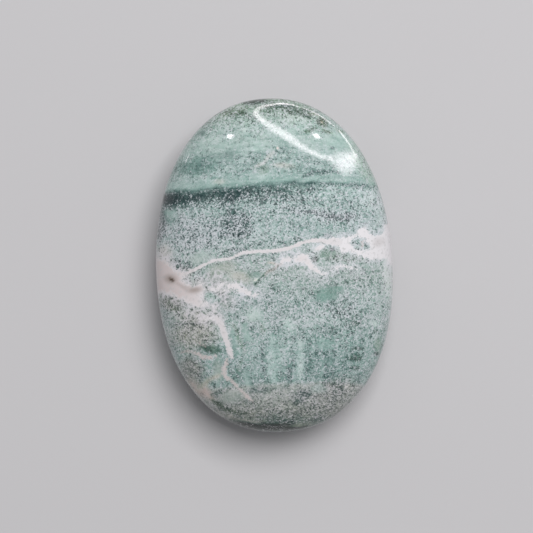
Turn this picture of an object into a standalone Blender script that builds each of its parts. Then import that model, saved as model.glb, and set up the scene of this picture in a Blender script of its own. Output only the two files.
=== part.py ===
"""A polished oval palm stone, ground from one piece of banded green agate.

Metres, +Z up. The stone lies on its back on a small flat spot, at z = 0, with its shown face up.
+Y runs along its length, towards the slightly narrower end, and +X across its width.
"""

import math

import bmesh
import bpy

LENGTH = 0.0720
WIDTH = 0.0510
THICKNESS = 0.0240
GIRDLE_HEIGHT = 0.0114
REST_SPOT_LENGTH = 0.0140

OUTLINE_POWER = 2.18
PROFILE_POWER = 2.25
EGG_TAPER = 0.02
CROWN_SHIFT = (0.0007, 0.0012)

SEGMENTS_AROUND = 88
RINGS = 44

STONE_GREEN = (0.42, 0.52, 0.48, 1.0)
POLISH_ROUGHNESS = 0.12


def clear_scene():
    for old in list(bpy.data.objects):
        bpy.data.objects.remove(old)


def full_back_depth():
    """Depth of the back dome under the girdle before the rest spot is ground off it."""
    spot_share = REST_SPOT_LENGTH / LENGTH
    kept = (1 - spot_share**PROFILE_POWER) ** (1 / PROFILE_POWER)
    return GIRDLE_HEIGHT / kept


def eased(value, power):
    """A sine or cosine bent from a circle to a superellipse, with its sign kept."""
    return math.copysign(abs(value) ** (2 / power), value)


def stone_point(around, down):
    """The surface point at an angle around the girdle and an angle down from the crown."""
    out = eased(math.sin(down), PROFILE_POWER)
    rise = eased(math.cos(down), PROFILE_POWER)
    along = eased(math.sin(around), OUTLINE_POWER) * out
    across = eased(math.cos(around), OUTLINE_POWER) * out
    half_width = WIDTH / 2 * (1 - EGG_TAPER * along)
    front = THICKNESS - GIRDLE_HEIGHT
    height = rise * (front if rise > 0 else full_back_depth())
    lean = rise**2 if rise > 0 else 0.0
    return (
        across * half_width + CROWN_SHIFT[0] * lean,
        along * LENGTH / 2 + CROWN_SHIFT[1] * lean,
        GIRDLE_HEIGHT + height,
    )


def shape_stone(shape):
    """Moves every point of a unit sphere to the stone's surface."""
    for point in shape.verts:
        x, y, z = point.co.normalized()
        down = math.acos(max(-1.0, min(1.0, z)))
        point.co = stone_point(math.atan2(y, x), down)


def grind_rest_spot(shape):
    """Cuts the back dome off flat at z = 0, and closes the cut with one face."""
    everything = shape.verts[:] + shape.edges[:] + shape.faces[:]
    cut = bmesh.ops.bisect_plane(
        shape, geom=everything, plane_co=(0, 0, 0), plane_no=(0, 0, -1), clear_outer=True
    )
    rim = [item for item in cut["geom_cut"] if isinstance(item, bmesh.types.BMEdge)]
    bmesh.ops.contextual_create(shape, geom=rim)


def polished_stone():
    finish = bpy.data.materials.new("polished_stone")
    finish.use_nodes = True
    shader = finish.node_tree.nodes["Principled BSDF"]
    shader.inputs["Base Color"].default_value = STONE_GREEN
    shader.inputs["Roughness"].default_value = POLISH_ROUGHNESS
    shader.inputs["Metallic"].default_value = 0.0
    return finish


def make_palm_stone():
    shape = bmesh.new()
    bmesh.ops.create_uvsphere(shape, u_segments=SEGMENTS_AROUND, v_segments=RINGS, radius=1.0)
    shape_stone(shape)
    grind_rest_spot(shape)
    bmesh.ops.recalc_face_normals(shape, faces=shape.faces)
    mesh = bpy.data.meshes.new("palm_stone")
    shape.to_mesh(mesh)
    shape.free()
    mesh.shade_smooth()
    mesh.set_sharp_from_angle(angle=math.radians(30))
    mesh.materials.append(polished_stone())
    stone = bpy.data.objects.new("palm_stone", mesh)
    bpy.context.scene.collection.objects.link(stone)
    return stone


clear_scene()
make_palm_stone()
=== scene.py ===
# %% [markdown]
# A palm stone is a pebble-sized piece of rock, sawn, ground to a soft oval and polished until it
# shines. This one is a green agate, so nearly all of its character is colour inside the stone:
# bands, speckle and bone-white veins. The lesson builds it in four steps: a smooth shape, a map of
# the markings, a shader that breaks the markings into mineral grains, and studio light to read the
# polish by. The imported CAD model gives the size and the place, so it is loaded first.

# %% Load the stone's frame
import math

import bmesh
import bpy
import numpy as np
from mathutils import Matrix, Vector, noise


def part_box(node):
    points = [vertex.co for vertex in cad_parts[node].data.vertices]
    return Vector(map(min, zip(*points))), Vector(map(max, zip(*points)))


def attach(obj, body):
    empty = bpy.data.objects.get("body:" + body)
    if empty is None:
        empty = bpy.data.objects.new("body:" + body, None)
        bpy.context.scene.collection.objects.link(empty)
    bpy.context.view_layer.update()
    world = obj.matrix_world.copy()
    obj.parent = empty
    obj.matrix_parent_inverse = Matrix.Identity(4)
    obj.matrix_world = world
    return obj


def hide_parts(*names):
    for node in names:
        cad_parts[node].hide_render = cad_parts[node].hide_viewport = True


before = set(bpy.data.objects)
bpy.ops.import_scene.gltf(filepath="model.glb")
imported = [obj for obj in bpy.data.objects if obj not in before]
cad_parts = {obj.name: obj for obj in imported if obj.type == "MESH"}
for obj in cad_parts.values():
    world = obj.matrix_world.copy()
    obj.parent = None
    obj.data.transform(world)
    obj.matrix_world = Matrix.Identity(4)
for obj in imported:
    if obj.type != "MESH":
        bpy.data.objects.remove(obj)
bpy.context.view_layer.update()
low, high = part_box("palm_stone")
MM = 0.001

# %% [markdown]
# The real stone is shaped on a wheel by hand. Its outline is a little squarer than an ellipse, one
# end is slightly narrower, and the crown sits a touch off centre. A superellipse formula gives just
# that with a few numbers, and it is smooth everywhere, which a polished surface needs. The sizes
# come from the CAD box, and the powers are the ones the CAD solid was turned with. The taper makes
# the widest place a trifle wider, so the half width is divided by that gain.

# %% The stone's sizes in millimetres
TAPER_GAIN = 1.0005
HALF_WIDTH = (high.x - low.x) / 2 / MM / TAPER_GAIN
HALF_LENGTH = (high.y - low.y) / 2 / MM
THICKNESS = (high.z - low.z) / MM
GIRDLE_HEIGHT = 11.4
REST_SPOT_SHARE = 14.0 / 72.0
OUTLINE_POWER = 2.18
PROFILE_POWER = 2.25
EGG_TAPER = 0.02
CROWN_SHIFT = (0.7, 1.2)
FRONT_RISE = THICKNESS - GIRDLE_HEIGHT
BACK_DROP = GIRDLE_HEIGHT / (1 - REST_SPOT_SHARE**PROFILE_POWER) ** (1 / PROFILE_POWER)
print(f"half width {HALF_WIDTH:.2f}, half length {HALF_LENGTH:.2f}, front rise {FRONT_RISE:.2f}")

# %% [markdown]
# A ball made from a cube has evenly spread squares and no poles, where a ball made of rings would
# bunch its faces into a star right on the crown. The markings are stored on the points, so the
# points are pulled towards the shown face, where the eye looks closest: there they lie about a
# quarter of a millimetre apart.

# %% A ball of squares, denser towards the front
SQUARES_ALONG = 126
FRONT_PULL = 0.28
TINY = 1e-9


def ball_of_squares():
    ball = bmesh.new()
    bmesh.ops.create_cube(ball, size=2)
    bmesh.ops.subdivide_edges(ball, edges=ball.edges[:], cuts=SQUARES_ALONG - 1, use_grid_fill=True)
    mesh = bpy.data.meshes.new("palm_stone_polished")
    ball.to_mesh(mesh)
    ball.free()
    return mesh


def read_points(mesh):
    flat = np.empty(len(mesh.vertices) * 3, np.float32)
    mesh.vertices.foreach_get("co", flat)
    return flat.reshape(-1, 3).astype(float)


def pulled_forward(points):
    """Directions of the ball's points, spread evenly and then drawn towards +Z."""
    ways = np.tan(points * math.pi / 4)
    ways /= np.linalg.norm(ways, axis=1)[:, None]
    down = np.arccos(np.clip(ways[:, 2], -1, 1))
    nearer = down - FRONT_PULL * np.sin(down)
    flat_length = np.maximum(np.sin(down), TINY)
    ways[:, :2] *= (np.sin(nearer) / flat_length)[:, None]
    ways[:, 2] = np.cos(nearer)
    return ways


mesh = ball_of_squares()
ways = pulled_forward(read_points(mesh))
print("points:", len(ways), "squares:", len(mesh.polygons))

# %% [markdown]
# Each direction is then followed out to the superellipsoid. Its formula grows evenly with distance,
# so one division finds the surface and no search is needed. The back is cut off flat at z = 0: that
# is the small spot the stone rests on.

# %% From the ball to the stone


def on_stone(ways):
    """The stone's points in mm, and how deep each lies under the shown face."""
    size = np.abs(ways[:, 0]) ** OUTLINE_POWER + np.abs(ways[:, 1]) ** OUTLINE_POWER
    size = size ** (PROFILE_POWER / OUTLINE_POWER) + np.abs(ways[:, 2]) ** PROFILE_POWER
    across, along, rise = (ways / (size ** (1 / PROFILE_POWER))[:, None]).T
    lean = np.maximum(rise, 0) ** 2
    x = across * HALF_WIDTH * (1 - EGG_TAPER * along) + CROWN_SHIFT[0] * lean
    y = along * HALF_LENGTH + CROWN_SHIFT[1] * lean
    z = GIRDLE_HEIGHT + rise * np.where(rise > 0, FRONT_RISE, BACK_DROP)
    depth = np.maximum(-rise, 0) * (FRONT_RISE + BACK_DROP)
    return np.stack([x, y, np.maximum(z, 0)], axis=1), depth


def add_object(name, data):
    """Puts a mesh, a lamp or a camera into the scene."""
    made = bpy.data.objects.new(name, data)
    bpy.context.scene.collection.objects.link(made)
    return made


points, depth = on_stone(ways)
mesh.vertices.foreach_set("co", (points * MM).astype(np.float32).ravel())
mesh.shade_smooth()
mesh.update()
stone = add_object("palm_stone_polished", mesh)
print("stone in mm:", points.min(0).round(2), points.max(0).round(2))

# %% [markdown]
# The markings run through the rock as sheets and lumps, and the surface only cuts them. On the
# shown face a marking is placed by its x and y in millimetres. Further down, the same plan is slid
# sideways and bent by a slow noise, so that a vein runs over the rim and comes out somewhere else
# on the back, as a real sheet would. A second, finer noise makes the edges of patches irregular.
# The places were read off the picture. Its camera is near, so the raised crown looks up to 3%
# larger there than the rim, and the plan is widened by as much. Blender seeds this noise with the
# time of day unless it is told otherwise, so the seed is set: every run gives the same stone.

# %% Where each point falls in the plan of the markings
CAMERA_HEIGHT = 0.400
AIM = np.array([-1.662, -0.180])
SHEET_SLANT = (0.30, -0.34)
BEND_SIZE = 15.0
BEND = 0.33
RIPPLE_SIZE = 2.6
RIPPLE = 0.45
DRIFT_SEED = 4
noise.seed_set(DRIFT_SEED)


def drift(points, size, seed):
    """A smooth random push for every point, as two columns."""
    shift = Vector((seed, 0.4 * seed, -0.7 * seed))
    pushes = [noise.noise_vector(Vector(point) / size + shift)[:2] for point in points]
    return np.array(pushes)


def in_picture(x_and_y, z):
    """Where a point of the stone is seen, in mm of the plan at the height of the rim."""
    return AIM + (x_and_y - AIM) / (1 - (z - GIRDLE_HEIGHT) * MM / CAMERA_HEIGHT)


plan = in_picture(points[:, :2], points[:, 2:])
plan += depth[:, None] * (np.array(SHEET_SLANT) + BEND * drift(points, BEND_SIZE, 3.0))
rippled = plan + RIPPLE * drift(points, RIPPLE_SIZE, 11.0)
print("plan in mm:", plan.min(0).round(1), plan.max(0).round(1))

# %% [markdown]
# Two helpers place every marking. One measures how far inside a stroke of changing width a point
# lies, the other how far inside a closed outline. Both answer in millimetres, more than zero
# inside, so the shader can later fray the edge by adding a little noise to the number. Strokes and
# outlines are drawn through a handful of points and rounded with a spline.

# %% Strokes and outlines
SPLINE_STEPS = 4
FAR = 99.0


def rounded(knots, closed=False):
    """A Catmull-Rom curve through the knots, whatever numbers each knot holds."""
    knots = np.array(knots, float)
    if closed:
        knots = np.vstack([knots[-1], knots, knots[0], knots[1]])
    else:
        knots = np.vstack([2 * knots[0] - knots[1], knots, 2 * knots[-1] - knots[-2]])
    curve = []
    for a, b, c, d in zip(knots, knots[1:], knots[2:], knots[3:]):
        for step in range(SPLINE_STEPS):
            t = step / SPLINE_STEPS
            bend = 2 * a - 5 * b + 4 * c - d + t * (3 * (b - c) + d - a)
            curve.append(b + 0.5 * t * (c - a + t * bend))
    curve.append(curve[0] if closed else knots[-2])
    return np.array(curve)


def beside(where, start, end):
    """Distance of every point from one straight run, and how far along the run it is."""
    run = end - start
    t = np.clip(((where - start) @ run) / max(run @ run, TINY), 0, 1)
    return np.linalg.norm(where - start - t[:, None] * run, axis=1), t


def inside_stroke(where, knots):
    """Knots are (x, y, width). The answer is in mm, more than 0 inside the stroke."""
    best = np.full(len(where), -FAR)
    curve = rounded(knots)
    for a, b in zip(curve, curve[1:]):
        away, t = beside(where, a[:2], b[:2])
        best = np.maximum(best, (a[2] + t * (b[2] - a[2])) / 2 - away)
    return best


def inside_any(where, strokes):
    return np.max([inside_stroke(where, knots) for knots in strokes], axis=0)


def inside_outline(where, knots):
    """Knots are (x, y). The answer is in mm, more than 0 inside the outline."""
    nearest = np.full(len(where), FAR)
    inside = np.zeros(len(where), bool)
    curve = rounded(knots, closed=True)
    for a, b in zip(curve, curve[1:]):
        away, _ = beside(where, a, b)
        nearest = np.minimum(nearest, away)
        crosses = (a[1] > where[:, 1]) != (b[1] > where[:, 1])
        rise = b[1] - a[1] if b[1] != a[1] else TINY
        inside ^= crosses & (where[:, 0] < a[0] + (where[:, 1] - a[1]) * (b[0] - a[0]) / rise)
    return np.where(inside, nearest, -nearest)


# %% [markdown]
# The veins are quartz that filled cracks in the green rock, later than everything else, so they lie
# on top of it. The widest one crosses the whole face and opens into a white lobe at each side. Their
# places matter more than anything else for telling this stone from another, so they are given one by
# one, in millimetres from the middle of the stone.

# %% The veins
MAIN_VEIN = [
    (-19.4, -0.9, 0.5), (-18, -0.4, 0.7), (-17, 0, 0.75), (-16, 0.45, 0.7), (-15, 0.9, 0.6),
    (-14, 1.25, 0.6),
    (-13, 1.6, 0.65), (-12, 1.75, 0.7), (-10, 1.78, 0.65), (-9, 2, 0.6), (-8.2, 2.4, 0.6), (-7, 2.85, 0.65),
    (-6, 3.1, 0.7), (-3, 3.15, 0.75), (0, 3.15, 0.8), (2.5, 3.35, 0.85), (4, 3.7, 0.85), (6, 4.45, 0.85),
    (8, 4.85, 0.8), (10, 4.85, 0.85), (12, 4.6, 1.3), (14, 4.3, 1.8),
]
RIGHT_LOBE = [
    (11.5, 5.2), (14, 5.4), (16.4, 5.5), (17.8, 5.9), (18.5, 6.8), (19.5, 7.3), (20.2, 7.2), (20.7, 6.4),
    (21.6, 5.6), (22.5, 5.4), (23.5, 6.1), (24.2, 7.5), (25.4, 7.9), (27, 6), (27, 0), (25.4, -1.4),
    (24.7, -0.8), (24.2, 0.2), (23, 0.15), (21.2, 0.2), (20, 0.5), (18.6, 1), (17.6, 1.6), (16.4, 2),
    (15, 2), (14.3, 2.4), (13.8, 3.2), (12.4, 3.7),
]
RIGHT_ISLAND = [
    (17.2, 4.7), (18.3, 5.1), (19.3, 4.6), (20.1, 3.8), (20.6, 3), (19.8, 2.4), (18.8, 2.9), (17.5, 3.1),
]
ISLAND_MARGIN = 0.25
LEFT_LOBE = [
    (-27, 3.4), (-25, 2.9), (-23.6, 2.4), (-22.6, 1.7), (-21.7, 0.5), (-20.4, -0.3), (-18.8, -0.5),
    (-18.9, -1.1),
    (-19.9, -1.5), (-19.6, -2.4), (-18.4, -3.2), (-17.3, -3.4), (-16.3, -2.8), (-15.5, -3.4), (-15.1, -4.5),
    (-15.5, -5.3), (-15.8, -6.2), (-15.4, -7), (-14.5, -7.6), (-15.5, -8.1), (-16.8, -8.2), (-18.2, -7.7),
    (-19.9, -6.6), (-21.5, -6), (-22.9, -5.2), (-25.2, -4.8), (-27, -5),
]
LEFT_ISLAND = (-14, -6.3)
LOWER_VEIN = [
    (-13, -10.9, 0.8), (-12.4, -11.6, 1.3), (-11.9, -12.8, 1.4), (-11.6, -13.8, 1.4), (-11.1, -15.4, 1.4),
    (-10.7, -17.2, 1.35), (-10.4, -18.4, 1.2), (-10.1, -19.5, 0.9),
]
STROKES = [
    # The white stroke under the main vein, from two blobs to a fading line on the right
    [(1.3, 0.2, 0.5), (2.3, 0.9, 1.3), (3, 1.1, 1.5), (3.7, 1, 0.8)],
    [(4.5, 0.9, 0.7), (5.4, 1.2, 1.7), (6.4, 1.3, 2), (7.1, 0.6, 1.5), (7.9, -0.4, 1.4), (8.9, -1.4, 1.3),
     (10, -2.1, 0.9), (11, -2.3, 0.4)],
    [(12.2, -1.7, 0.3), (13.2, -1.3, 0.25), (14.3, -0.85, 0.5), (15.4, -1, 0.6), (16.5, -1.25, 0.55),
     (17.9, -1.6, 0.4)],
    [(8.9, 2.75, 0.7), (9.8, 3.25, 1), (10.8, 3.5, 0.7), (11.6, 3.75, 0.4)],
    # From the left lobe along the middle, around a small green island
    [(-15, -4.8, 0.6), (-13.6, -4.6, 0.55), (-12.4, -4.3, 0.5), (-11.5, -3.5, 0.45), (-10.4, -3.5, 0.4)],
    [(-13.2, -4.9, 0.4), (-11.6, -5.1, 0.5), (-10.5, -4.8, 0.6), (-9.8, -4.1, 1.2), (-8.7, -4, 1.5),
     (-7.7, -4.6, 1.2), (-6.5, -5.3, 1.4), (-5.5, -5.9, 1.1), (-4.6, -6.3, 0.7), (-4, -6.2, 0.4)],
    # From the left lobe down to the narrowing lower vein
    [(-14.9, -7.6, 0.5), (-13.9, -7.8, 0.5), (-13.5, -8.6, 0.35), (-13.7, -9.6, 0.35), (-13.6, -10.4, 0.6)],
    [(-16.5, -10.7, 0.4), (-15.4, -10.7, 0.6), (-14.1, -10.8, 0.8), (-12.9, -11.1, 0.9)],
]
FAINT_STROKES = [
    # The thin end of the lower vein, two threads to its left and one across the right island
    [(-11.2, -19.9, 0.7), (-11.5, -20.9, 0.8), (-11.9, -22.1, 1), (-11.8, -23.2, 0.9), (-10.8, -24.2, 0.8),
     (-9.5, -25.4, 0.7), (-8.5, -26.6, 0.6), (-7.3, -27.9, 0.6), (-6.2, -28.9, 0.5)],
    [(-21.3, -17.9, 0.3), (-20, -17.65, 0.4), (-18.8, -17.8, 0.4), (-17.6, -18.3, 0.6), (-16.3, -19, 0.9),
     (-15.1, -19.2, 0.9), (-13.6, -18.9, 0.4)],
    [(-16.9, -16.1, 0.3), (-15.7, -16.6, 0.4)],
    [(19.5, 4.4, 0.35), (19.3, 3.8, 0.4), (19.3, 3.3, 0.2)],
]
CRISP_FRAY = 0.5
LOWER_FRAY = 1.0
RAGGED_FRAY = 1.5

main_vein = inside_stroke(plan, MAIN_VEIN)
lower_vein = inside_stroke(plan, LOWER_VEIN)
ragged_vein = np.maximum(inside_outline(plan, LEFT_LOBE), inside_outline(plan, RIGHT_LOBE))
ragged_vein = np.maximum(ragged_vein, inside_any(plan, STROKES))
island = inside_outline(plan, RIGHT_ISLAND) + ISLAND_MARGIN
ragged_vein = np.minimum(ragged_vein, -island)
faint_vein = inside_any(plan, FAINT_STROKES)
vein = np.maximum(ragged_vein, np.maximum(main_vein, lower_vein))
fray = np.where(main_vein == vein, CRISP_FRAY, np.where(lower_vein == vein, LOWER_FRAY, RAGGED_FRAY))
print("share of points inside a vein:", round(float((vein > 0).mean()), 3))

# %% [markdown]
# The green rock was laid down in bands, which cross the stone from side to side. Each row below is
# one height in millimetres up the stone and says what the rock is like there: its tone from deep to
# pale, how teal, olive or warm it is, how many dark and pale grains it holds, and how calm, that is
# free of grains, it is. Between two rows the values blend.

# %% The bands of the green rock
TRAITS = ("tone", "teal", "olive", "warm", "dark", "pale", "calm")
BANDS = [
    # y, tone, teal, olive, warm, dark grains, pale grains, calm
    (36.0, -0.15, 0.1, 0.80, 0.00, 0.35, 0.25, 0.0),
    (32.5, -0.02, 0.1, 0.35, 0.00, 0.22, 0.32, 0.0),
    (29.5, 0.10, 0.2, 0.08, 0.00, 0.14, 0.28, 0.2),
    (26.5, 0.14, 0.2, 0.05, 0.00, 0.05, 0.20, 0.5),
    (22.5, -0.02, 0.2, 0.00, 0.00, 0.20, 0.25, 0.2),
    (20.0, 0.00, 0.3, 0.00, 0.00, 0.12, 0.25, 0.3),
    (18.2, 0.10, 0.4, 0.00, 0.00, 0.04, 0.14, 0.5),
    (17.4, -0.10, 0.5, 0.00, 0.00, 0.15, 0.05, 0.6),
    (16.4, -0.33, 0.4, 0.00, 0.00, 0.50, 0.15, 0.0),
    (14.4, -0.20, 0.3, 0.00, 0.00, 0.45, 0.32, 0.0),
    (12.8, -0.03, 0.3, 0.00, 0.00, 0.18, 0.38, 0.08),
    (7.0, -0.04, 0.3, 0.00, 0.00, 0.14, 0.45, 0.08),
    (3.0, 0.00, 0.2, 0.00, 0.10, 0.10, 0.38, 0.0),
    (-2.0, -0.12, 0.2, 0.10, 0.15, 0.08, 0.38, 0.0),
    (-8.0, -0.21, 0.3, 0.05, 0.05, 0.09, 0.42, 0.0),
    (-12.0, -0.08, 0.2, 0.05, 0.05, 0.09, 0.42, 0.0),
    (-18.0, -0.09, 0.4, 0.00, 0.00, 0.10, 0.30, 0.15),
    (-25.3, -0.14, 0.35, 0.00, 0.00, 0.16, 0.22, 0.15),
    (-26.3, 0.01, 0.0, 0.00, 0.38, 0.18, 0.34, 0.25),
    (-28.5, -0.14, 0.0, 0.00, 0.42, 0.21, 0.28, 0.25),
    (-32.0, -0.28, 0.0, 0.10, 0.52, 0.30, 0.22, 0.2),
    # The lowest rows darken towards the bottom rim: partly the rock's own dark rim layer, partly painted
    # shade on the rim.
    (-34.0, -0.38, 0.0, 0.15, 0.35, 0.35, 0.10, 0.0),
    (-36.0, -0.45, 0.0, 0.15, 0.40, 0.35, 0.10, 0.0),
]
BAND_SAG = [(-26, -0.7), (-12, -0.1), (-3, 0.3), (6, 0.1), (14, -0.5), (26, -1.6)]

sag_x, sag_y = np.array(BAND_SAG).T
height = rippled[:, 1] - np.interp(rippled[:, 0], sag_x, sag_y)
rows = np.array(BANDS)[::-1]
rock = {trait: np.interp(height, rows[:, 0], rows[:, column + 1]) for column, trait in enumerate(TRAITS)}


def print_traits(when):
    print(when, {trait: round(float(values.mean()), 2) for trait, values in rock.items()})


print_traits("traits of the bands:")

# %% [markdown]
# On top of the bands come patches: clear teal windows with no grains, clusters of near-black
# grains, olive and pinkish stains. Each is an ellipse given by its middle, half sizes and turn, a
# softness, and the traits it paints over the band below it. Long thin ones are strokes instead.

# %% Patches of other rock


def soft_step(value, low_end, high_end):
    t = np.clip((value - low_end) / (high_end - low_end), 0, 1)
    return t * t * (3 - 2 * t)


def ellipse(where, x, y, half_long, half_high, turn, soft):
    """How much a soft ellipse of the plan covers each point, from 0 to 1."""
    angle = math.radians(turn)
    dx, dy = where[:, 0] - x, where[:, 1] - y
    along = (dx * math.cos(angle) + dy * math.sin(angle)) / half_long
    across = (-dx * math.sin(angle) + dy * math.cos(angle)) / half_high
    return 1 - soft_step(np.hypot(along, across), 1 - soft, 1 + soft)


def paint(cover, through, traits):
    """Blends traits into the rock. The paint ends around the depth through, in mm."""
    cover = cover * (1 - soft_step(depth, through * 0.6, through * 1.4))
    for trait, value in traits.items():
        rock[trait] += cover * (value - rock[trait])


def patch(x, y, half_long, half_high, turn=0, soft=0.5, through=6.0, **traits):
    paint(ellipse(rippled, x, y, half_long, half_high, turn, soft), through, traits)


def streak(knots, soft=0.3, through=9.0, **traits):
    """Paints a stroke of the plan, knots as (x, y, width)."""
    paint(soft_step(inside_stroke(rippled, knots), -soft, soft), through, traits)


# The sides of the dark band: rich on the left, only a thin line on the right
patch(17, 15, 11, 1.9, -4, 0.3, tone=0.05, dark=0.12, pale=0.35, calm=0)
patch(8, 16.2, 4, 1, dark=0.25, tone=-0.1)
streak([(-27, 14.9, 2.6), (-16, 15.2, 2.4), (-8, 15.6, 2.2), (0, 15.8, 1.6), (6, 15.8, 0.8),
        (9, 15.8, 0.2)], 1.3, 14, tone=-0.22, dark=0.52, pale=0.23, teal=0.35)
streak([(-27, 15.6, 2.4), (-17, 15.6, 2), (-11, 16.1, 1.5), (-6, 16.4, 1.2), (-2, 16.8, 0.5)], 0.7, 14,
       tone=-0.46, teal=0.3, dark=0.87, pale=0.1)
patch(-23.6, 15.3, 3.6, 1.3, through=14, tone=-0.85, dark=0.9, pale=0.05)
streak([(-27, 16.8, 0.5), (-12, 17, 0.4), (-4, 17.2, 0.4), (3, 17.3, 0.4), (9, 17.3, 0.4)], 0.35, 14,
       tone=-0.45, teal=0.4, dark=0.4)
streak([(8, 17.3, 0.3), (12, 17.1, 0.4), (16, 16.8, 0.3), (20, 16.3, 0.3), (24, 15.4, 0.4)], 0.4, 14,
       tone=-0.6, teal=0.5, dark=0.4, calm=0.3)
patch(-22.3, 12.5, 1.8, 0.5, 4, 0.4, tone=0.05, teal=0.4, calm=0.9)
patch(-22.2, 11.2, 2.2, 0.9, 10, tone=0.08, teal=0.3, calm=0.7)
patch(-19.9, 9.8, 1.2, 0.7, tone=-0.2, teal=0.5)
# The cap
patch(7, 30.8, 4, 1.6, -15, 0.6, tone=0.25)
patch(-7.2, 33.3, 2.6, 0.8, 8, olive=0.8, tone=-0.25, dark=0.3)
patch(-2.6, 35.5, 2.4, 0.8, 3, 0.4, olive=0.7, tone=-0.75, dark=0.5, pale=0.1)
patch(3.4, 34.2, 2.3, 0.5, -2, 0.4, tone=-0.55, olive=0.3, dark=0.5)
patch(5.2, 33.2, 0.7, 0.6, olive=0.9, tone=-0.5)
patch(8.5, 33.1, 1.3, 0.4, -8, olive=0.9, tone=-0.5)
patch(10.2, 32, 1.2, 0.3, -15, olive=0.8, warm=0.3, tone=-0.4)
streak([(0.2, 34.2, 0.8), (3, 34, 1.2), (6, 33.1, 1.3), (9, 31.8, 1)], 0.6, olive=0.6, tone=-0.35, dark=0.4)
patch(11.9, 30.3, 1.2, 0.9, -25, 0.4, olive=0.8, warm=0.2, tone=-0.5, dark=0.5)
patch(12, 30.3, 0.35, 0.25, -25, 0.4, warm=0.6, tone=0.3)
patch(9.3, 28.8, 1.4, 0.45, 10, olive=0.7, tone=-0.45, dark=0.5)
patch(12.6, 28.5, 1.1, 0.35, -20, olive=0.7, tone=-0.4, dark=0.5)
patch(15.6, 28.3, 1.1, 0.35, -20, olive=0.7, tone=-0.4)
patch(20.5, 21.5, 2, 5, 25, 0.6, olive=0.35, teal=0.3, pale=0.4, tone=0.05)
patch(-9.3, 28.5, 0.3, 0.25, tone=-0.7)
patch(-14.2, 29.2, 0.9, 0.6, 20, 0.6, tone=-0.25, calm=0.8)
patch(-4.8, 29.5, 0.6, 0.5, tone=0.5, calm=0.5)
patch(15, 26.2, 2.6, 1.6, -30, teal=0.6, calm=0.85, tone=0.24)
patch(13.8, 24.8, 0.3, 0.3, tone=-0.6)
# Quieter rock along the mirrored loop of the ring lamp on the crown's upper right: fewer grains here are a
# painted sheen that stands in for the reflection's veil
streak([(-2.6, 33.4, 1.2), (0, 31, 1.5), (5, 27, 2.2), (11, 23.4, 2), (16, 22, 4)], 1.5, calm=0.5,
       dark=0.06)
# Under the cap
patch(-10, 24.5, 4.5, 0.8, 3, 0.6, tone=-0.12, teal=0.2, calm=0.75)
patch(-6.5, 26.4, 4.4, 1.1, 0, 0.6, tone=0.17, calm=0.6)
patch(-15.2, 22.2, 5.2, 1.5, 5, 0.6, tone=-0.24, dark=0.2, pale=0.06, teal=0.6, calm=0.45)
patch(-1.2, 20.9, 1.4, 0.8, 25, tone=-0.2, olive=0.3, calm=0.5)
patch(2.6, 24.8, 1.7, 0.7, tone=-0.22, dark=0.3)
streak([(-3.4, 21, 0.4), (-2.1, 21.9, 0.8), (-0.9, 22.5, 0.6), (0.2, 23.7, 0.7), (1, 24.6, 0.4)], 0.4,
       tone=0.2, warm=0.3, pale=0.7, dark=0.05)
patch(2, 25.4, 0.35, 0.35, 0, 0.3, tone=0.9, warm=0.4, calm=1)
patch(3.2, 21.5, 2.2, 0.6, -10, warm=0.3, tone=0.15)
streak([(7.3, 18.7, 0.5), (9.5, 19.4, 1.2), (12.2, 19.6, 0.8), (14.2, 19.2, 0.4)], tone=-0.3, dark=0.5)
patch(-17.3, 18.3, 6, 0.7, 1, tone=0.10, teal=0.35, calm=0.6)
patch(-11, 18.6, 1.2, 0.6, tone=0.2, warm=0.3, calm=0.2)
# Between the dark band and the main vein
patch(-17, 7.5, 6.5, 3.6, 0, 0.6, tone=-0.26, dark=0.23, pale=0.66, teal=0.3, calm=0)
streak([(-9.8, 14.2, 1.4), (-9, 11.8, 2.2), (-7.8, 9.5, 2.4)], 0.8, tone=-0.28, dark=0.4, teal=0.3)
patch(-7.3, 9, 3.2, 2.8, tone=-0.34, dark=0.52, pale=0.48, teal=0.3, calm=0)
patch(-8, 15.6, 3, 1, 3, 0.6, tone=-0.55, dark=0.85)
patch(21, 13, 1.8, 1.6, 60, 0.6, tone=0.3, pale=0.5)
patch(-23.6, 3.8, 1.5, 1.8, -20, 0.6, tone=0.25, warm=0.45, pale=0.6, dark=0.1)
patch(-7.35, 6.7, 0.28, 0.55, 5, 0.3, tone=-1, dark=1, calm=1)
streak([(-11.2, 7.5, 0.4), (-10, 7.1, 0.5), (-8.3, 6.8, 0.35)], tone=-0.75, teal=0.3)
patch(-5.9, 6.5, 0.7, 0.25, 15, tone=-0.6, olive=0.4)
patch(-10, 8.5, 0.5, 0.35, tone=-0.5)
patch(-24.2, 10.3, 1.3, 3.6, -8, 0.6, tone=-0.8, teal=0.4, dark=0.35)
streak([(1, 13.3, 0.8), (5, 11.8, 1.4), (9, 11, 1.8), (13, 10, 2.4), (17.5, 9.4, 1.6)], 0.9,
       tone=0, dark=0.4, pale=0.54, teal=0.2, calm=0)
streak([(5, 11.9, 0.5), (9, 11, 0.7), (13, 10, 1.1), (16, 9.5, 1.3), (17.5, 9.8, 0.8)], 0.4,
       tone=-0.26, dark=0.62, pale=0.68)
streak([(20.5, 10.5, 0.2), (22.4, 14.3, 0.25)], 0.25, tone=0.8, calm=0.7)
streak([(21.9, 6.6, 0.2), (23.9, 9.6, 0.2)], 0.25, tone=0.8, calm=0.7)
DARK_SPOTS = [(13.4, 10.2, 0.4), (14.9, 9.4, 0.45), (17.1, 10.2, 0.3), (8.1, 11.2, 0.4), (11.2, 11, 0.4),
              (5.6, 11.3, 0.35), (2.6, 13.5, 0.35), (20, 8.3, 0.3)]
for x, y, size in DARK_SPOTS:
    patch(x, y, size, size * 0.8, 30, 0.4, tone=-0.85, calm=0.6)
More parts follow.
